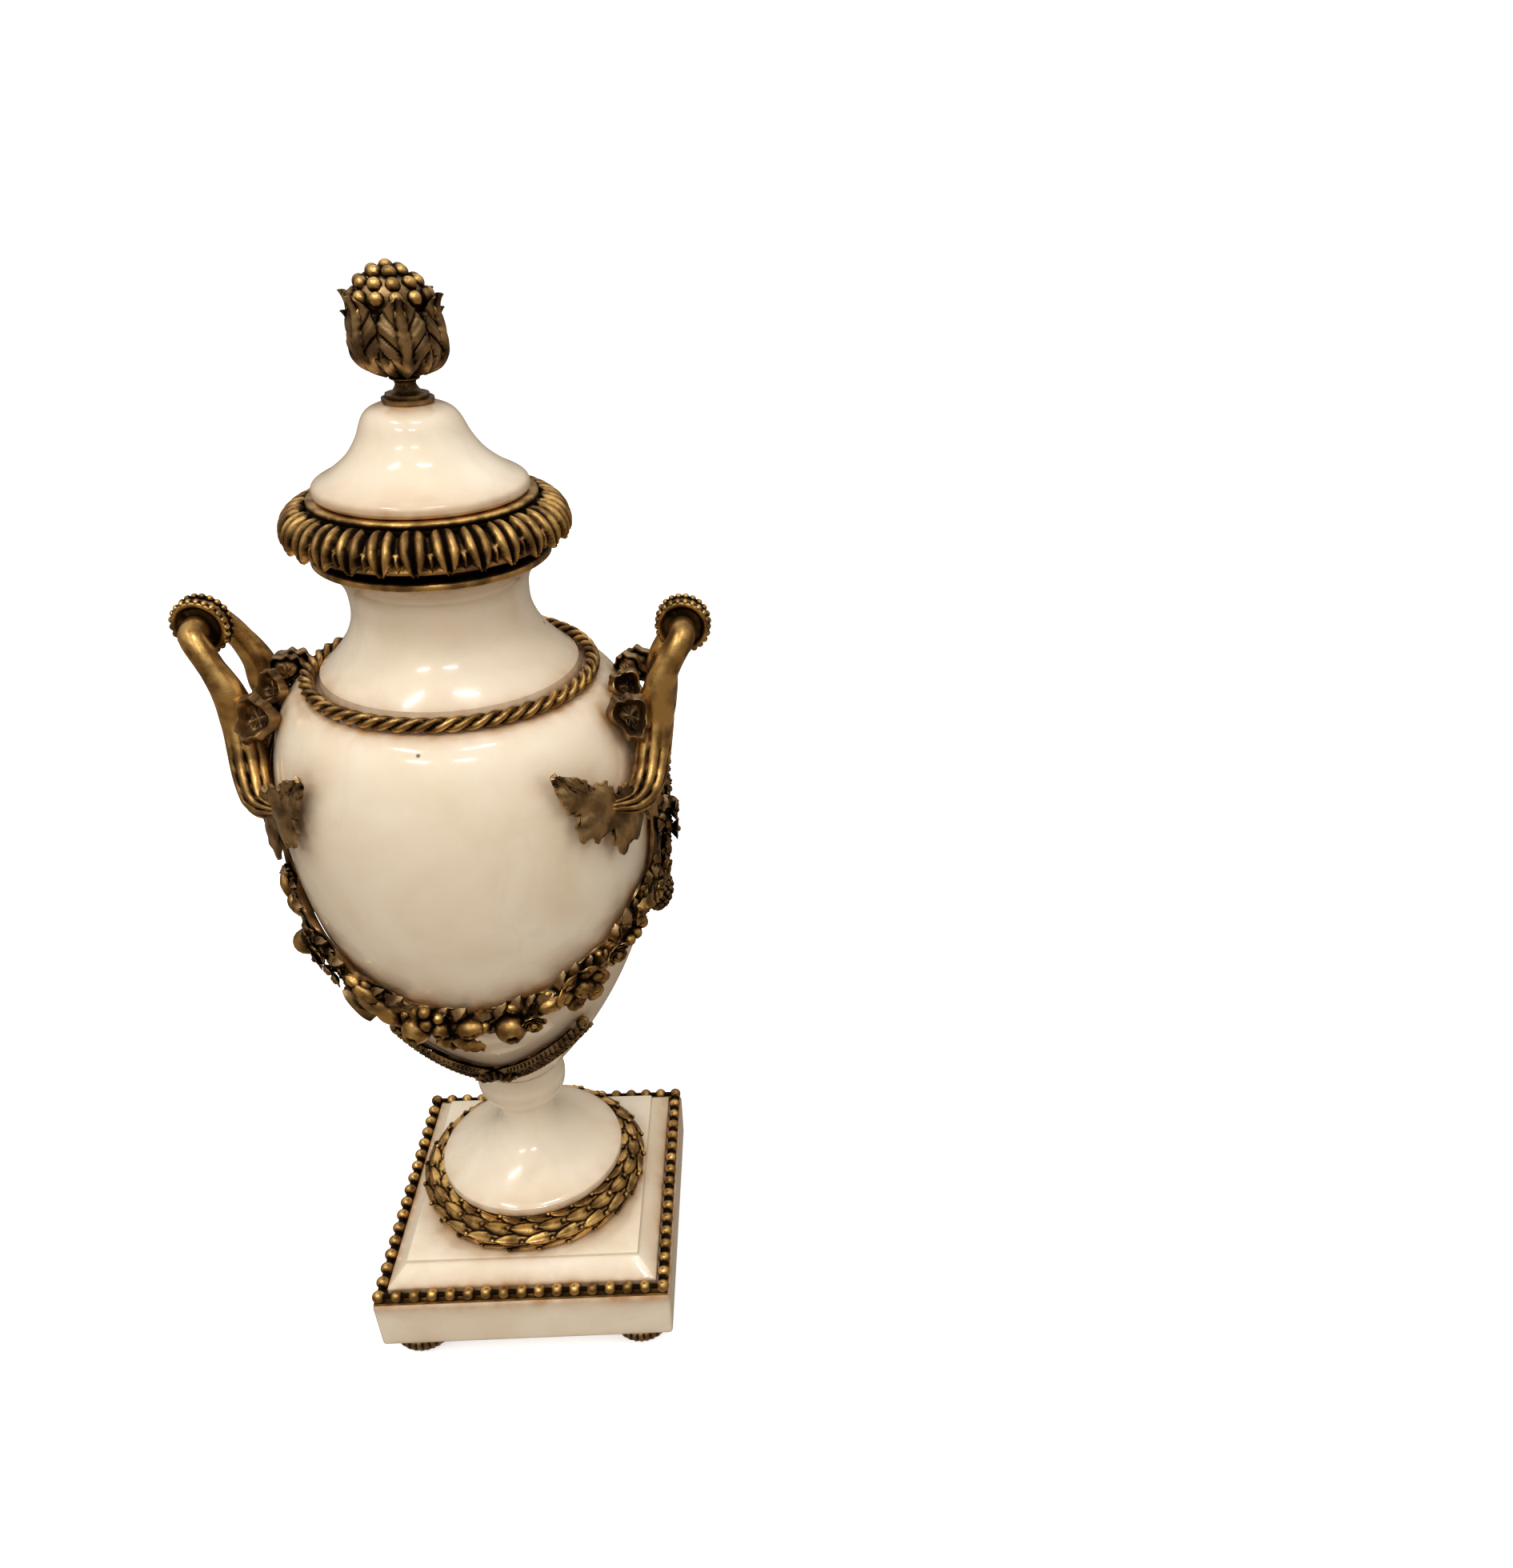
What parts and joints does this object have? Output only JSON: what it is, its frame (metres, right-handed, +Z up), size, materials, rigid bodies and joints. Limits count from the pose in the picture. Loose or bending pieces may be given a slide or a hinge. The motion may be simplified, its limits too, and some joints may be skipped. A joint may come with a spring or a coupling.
{
  "type": "mantel urn",
  "caption": "Lidded marble mantel urn with gilt bronze handles, flower swags, leaf collar, wreath, beaded border and bun feet on a square plinth.",
  "frame": {"origin": "on the urn's vertical axis, at the height its feet stand on", "axes": "+Z up the urn's axis, +X through the right handle, -Y towards the front swag"},
  "size_m": [0.1802, 0.1324, 0.426],
  "materials": {
    "marble": "polished warm white marble, aged, with faint clouds and brown dust in its seams",
    "gilt_bronze": "mercury gilt bronze, rubbed bright on the high spots, brown in the recesses",
    "dark_bronze": "gilt bronze darkened with age and dust"
  },
  "bodies": {
    "root": {"bun_foot_1": "dark_bronze", "bun_foot_2": "dark_bronze", "bun_foot_3": "dark_bronze", "bun_foot_4": "dark_bronze", "plinth_base": "marble", "bead_border": "gilt_bronze", "plinth_top": "marble", "laurel_wreath": "gilt_bronze", "pedestal": "marble", "urn_body": "marble", "rope_ring": "gilt_bronze", "neck": "marble", "rim_collar": "gilt_bronze", "lid": "marble", "finial": "dark_bronze", "handle_right": "gilt_bronze", "handle_left": "gilt_bronze", "bow_right": "dark_bronze", "bow_left": "dark_bronze", "side_drop_right": "dark_bronze", "side_drop_left": "dark_bronze", "swag_front": "dark_bronze", "swag_back": "dark_bronze", "laurel_spray_front": "dark_bronze", "laurel_spray_back": "dark_bronze"}
  },
  "joints": []
}
